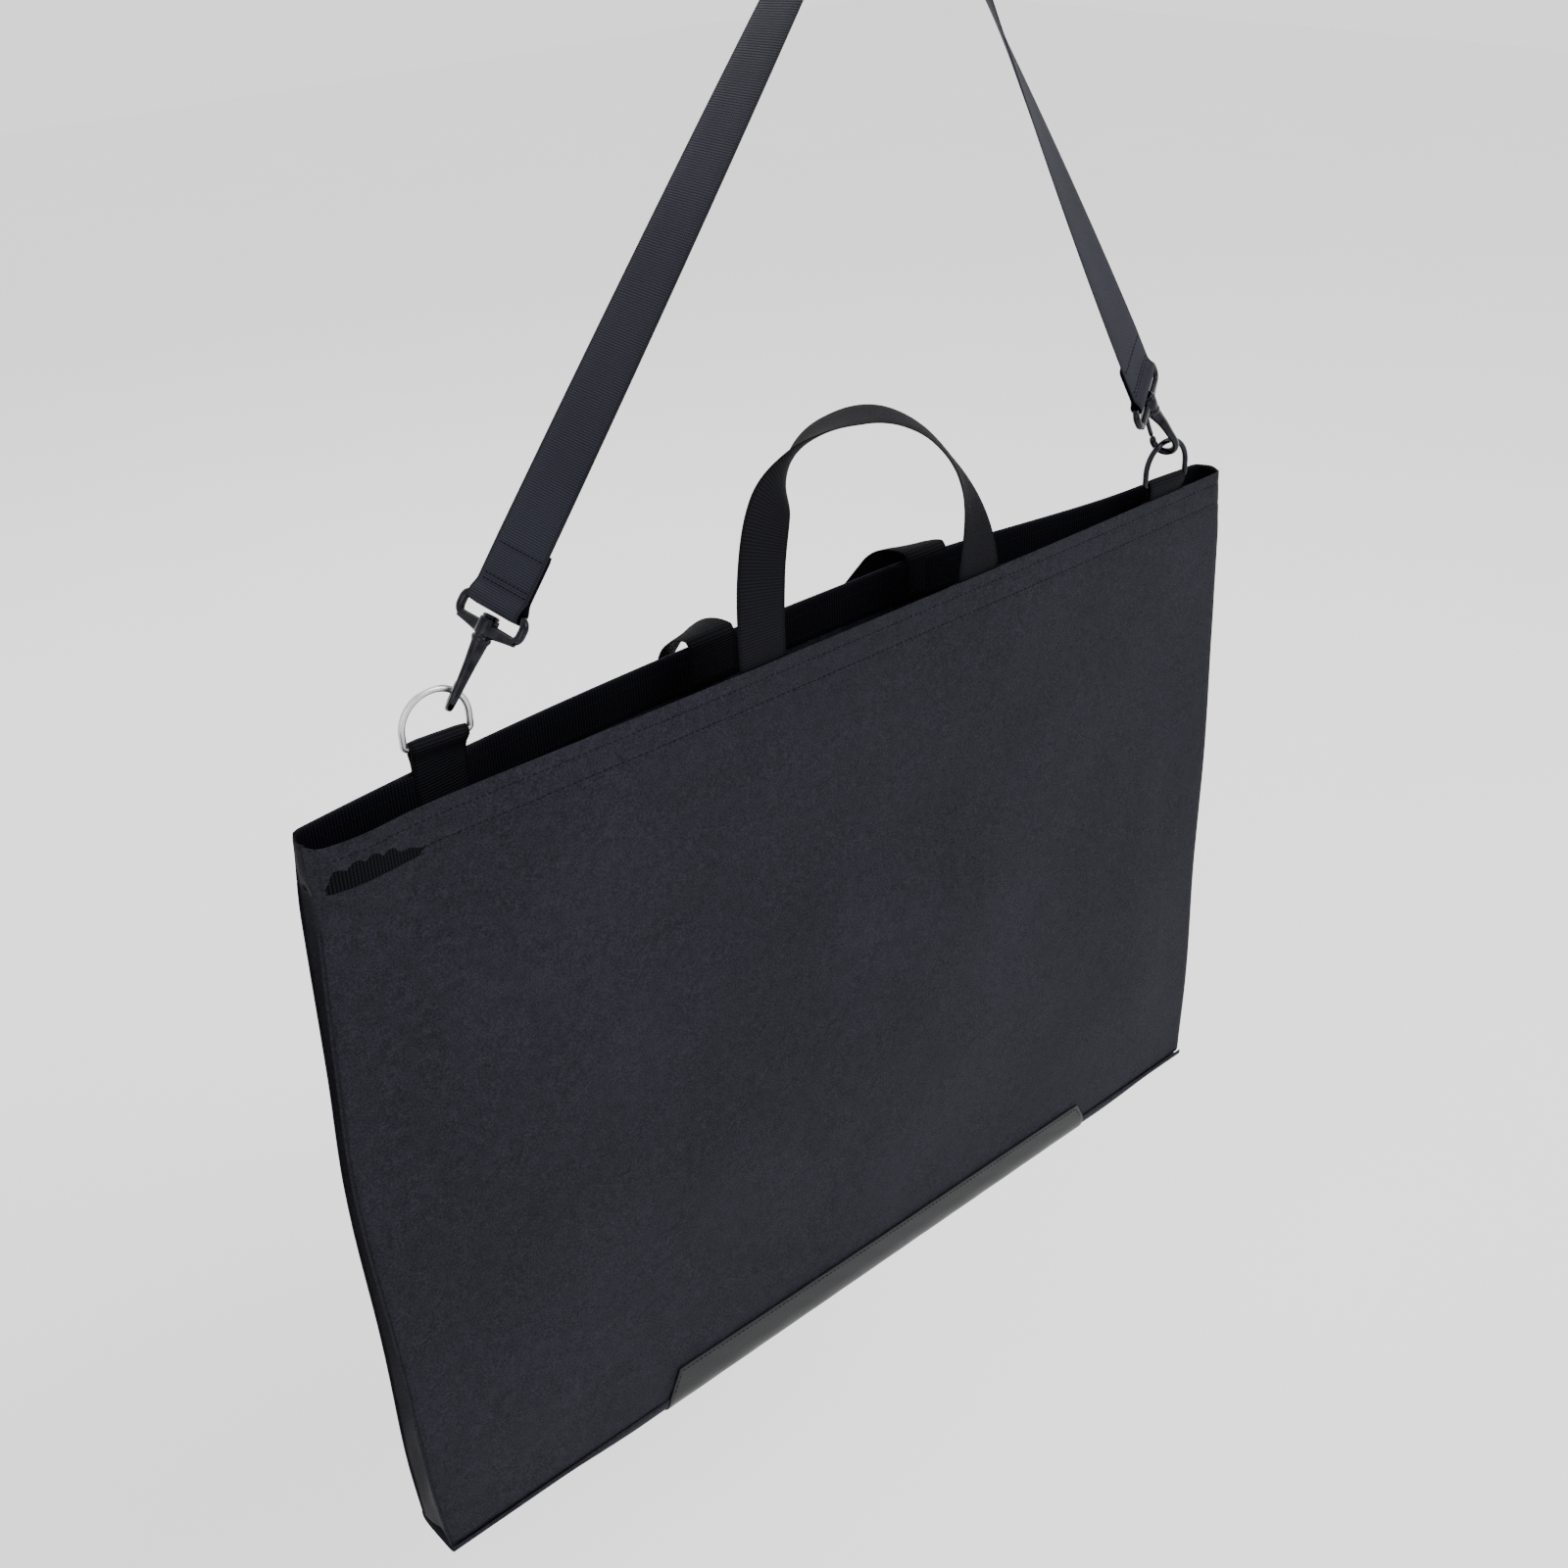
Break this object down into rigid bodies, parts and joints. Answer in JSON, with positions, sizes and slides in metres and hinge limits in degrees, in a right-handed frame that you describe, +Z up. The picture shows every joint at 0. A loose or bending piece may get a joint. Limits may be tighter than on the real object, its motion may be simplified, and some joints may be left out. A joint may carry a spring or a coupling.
{
  "type": "portfolio_case",
  "caption": "Soft open-topped portfolio case with two webbing carry handles, inner hem facings, a vinyl base patch and a shoulder strap clipped on with swivel hooks and D-rings.",
  "frame": {"origin": "underside of the shoulder strap at its highest place, where the case hangs from", "axes": "+X to the right seen from the front panel, +Y from the front panel to the back panel, +Z up along the pull"},
  "size_m": [0.684, 0.1026, 0.8767],
  "materials": {
    "panel_cloth": "fine plain-weave coated cloth",
    "gusset_cloth": "fine plain-weave coated cloth, darker",
    "webbing": "ribbed woven webbing",
    "base_vinyl": "dark grey vinyl, slightly glossy",
    "hook_metal": "black nickel plating",
    "ring_metal": "nickel plating"
  },
  "bodies": {
    "strap": {"shoulder_strap": "webbing"},
    "case": {"front_panel": "panel_cloth", "back_panel": "panel_cloth", "left_gusset": "gusset_cloth", "right_gusset": "gusset_cloth", "base_gusset": "gusset_cloth", "base_patch": "base_vinyl", "front_facing": "webbing", "rear_facing": "webbing", "left_end_facing": "webbing", "right_end_facing": "webbing", "front_handle_feet": "webbing", "rear_handle_feet": "webbing", "left_ring_tab": "webbing", "right_ring_tab": "webbing"},
    "left_ring": {"left_d_ring": "ring_metal"},
    "right_ring": {"right_d_ring": "ring_metal"},
    "left_bail_body": {"left_bail": "hook_metal"},
    "right_bail_body": {"right_bail": "hook_metal"},
    "left_hook_body": {"left_hook": "hook_metal", "left_gate_pin": "hook_metal"},
    "right_hook_body": {"right_hook": "hook_metal", "right_gate_pin": "hook_metal"},
    "left_gate_body": {"left_gate": "hook_metal"},
    "right_gate_body": {"right_gate": "hook_metal"},
    "front_handle_body": {"front_handle": "webbing"},
    "rear_handle_body": {"rear_handle": "webbing"}
  },
  "joints": [
    {"name": "case_swing", "type": "hinge", "parent": "strap", "child": "case", "pos_m": [-0.0305, 0.0047, -0.3795], "axis": [0.9987, -0.0494, -0.0096], "range_deg": [-75, 75]},
    {"name": "left_ring_turn", "type": "hinge", "parent": "strap", "child": "left_ring", "pos_m": [-0.29, 0.01754, -0.377], "axis": [0.9987, -0.0494, -0.0096], "range_deg": [-1, 1]},
    {"name": "right_ring_turn", "type": "hinge", "parent": "strap", "child": "right_ring", "pos_m": [0.229, -0.00814, -0.382], "axis": [0.9987, -0.0494, -0.0096], "range_deg": [-5, 5]},
    {"name": "left_bail_tilt", "type": "hinge", "parent": "strap", "child": "left_bail_body", "pos_m": [-0.2498, 0.01492, -0.3193], "axis": [-0.0624, 0.9936, 0.0939], "range_deg": [-3, 3]},
    {"name": "left_hook_swivel", "type": "hinge", "parent": "left_bail_body", "child": "left_hook_body", "pos_m": [-0.25654, 0.01536, -0.32848], "axis": [0.5917, -0.039, 0.8052], "range_deg": [-2, 60]},
    {"name": "left_gate_opening", "type": "hinge", "parent": "left_hook_body", "child": "left_gate_body", "pos_m": [-0.26009, 0.01968, -0.33796], "axis": [-0.6469, 0.5731, 0.5031], "range_deg": [0, 18], "stiffness_Nm_per_rad": 0.02, "springref_deg": -20.05},
    {"name": "right_bail_tilt", "type": "hinge", "parent": "strap", "child": "right_bail_body", "pos_m": [0.20284, -0.00728, -0.31648], "axis": [0.7885, 0.4157, 0.4532], "range_deg": [-2, 3]},
    {"name": "right_hook_swivel", "type": "hinge", "parent": "right_bail_body", "child": "right_hook_body", "pos_m": [0.20861, -0.00751, -0.32631], "axis": [-0.5063, 0.0207, 0.8621], "range_deg": [-50, 3]},
    {"name": "right_gate_opening", "type": "hinge", "parent": "right_hook_body", "child": "right_gate_body", "pos_m": [0.21192, -0.00337, -0.33595], "axis": [-0.7859, -0.4225, -0.4515], "range_deg": [0, 18], "stiffness_Nm_per_rad": 0.02, "springref_deg": -20.05},
    {"name": "front_handle_fold", "type": "hinge", "parent": "case", "child": "front_handle_body", "pos_m": [-0.0267, -0.01154, -0.387], "axis": [1, 0, 0], "range_deg": [-60, 110]},
    {"name": "rear_handle_fold", "type": "hinge", "parent": "case", "child": "rear_handle_body", "pos_m": [-0.0267, 0.02978, -0.387], "axis": [1, 0, 0], "range_deg": [0, 135]}
  ],
  "couplings": [
    {"joint": "left_ring_turn", "follows": "left_bail_tilt", "ratio": 0.3083},
    {"joint": "right_ring_turn", "follows": "right_bail_tilt", "ratio": -1.5736}
  ]
}
